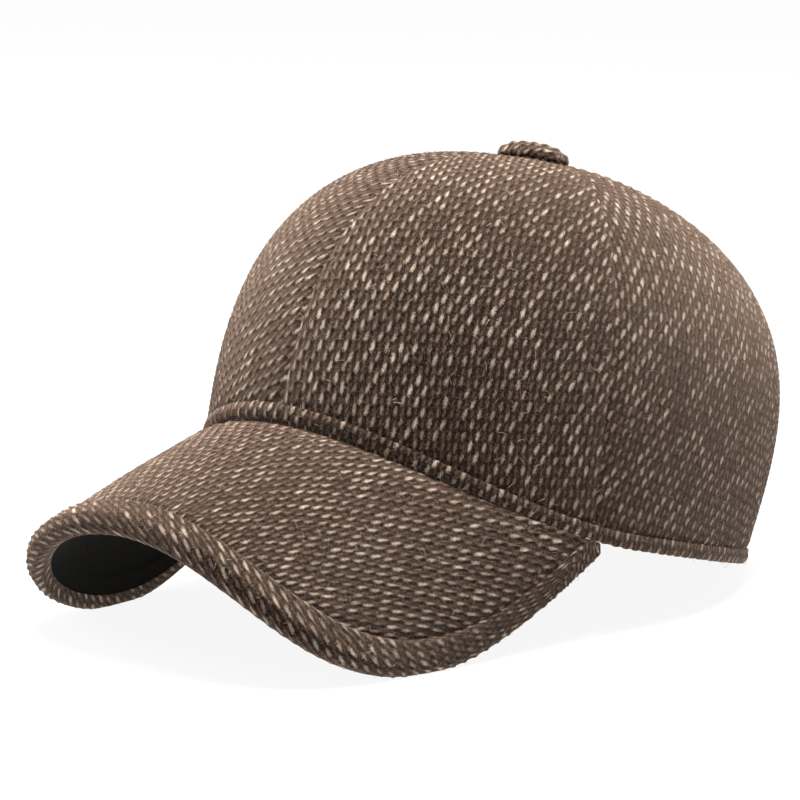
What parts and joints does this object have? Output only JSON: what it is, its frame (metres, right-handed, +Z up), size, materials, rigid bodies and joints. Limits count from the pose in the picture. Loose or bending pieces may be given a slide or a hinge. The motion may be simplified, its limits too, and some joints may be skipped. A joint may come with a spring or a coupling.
{
  "type": "tweed winter baseball cap",
  "caption": "Winter baseball cap in thick fleck-patterned wool tweed: sewn panel crown, covered top button, narrow bound rim and a curved brim with a soft bound edge and dark underside.",
  "frame": {"origin": "centre of the overall box at its bottom, on the floor that the cap rests on", "axes": "+Z up, -Y towards the brim, +X towards the wearer's left"},
  "size_m": [0.1626, 0.2918, 0.1469],
  "materials": {
    "tweed": "thick brown wool tweed with pale flecks and a soft nap",
    "black_cloth": "near-black plain ribbed cloth"
  },
  "bodies": {
    "root": {"panel_front_left": "tweed", "panel_front_right": "tweed", "panel_side_left": "tweed", "panel_side_right": "tweed", "panel_back_left": "tweed", "panel_back_right": "tweed", "top_button": "tweed", "rim_binding": "tweed", "brim_cover": "tweed", "brim_under": "black_cloth", "brim_binding": "tweed"}
  },
  "joints": []
}
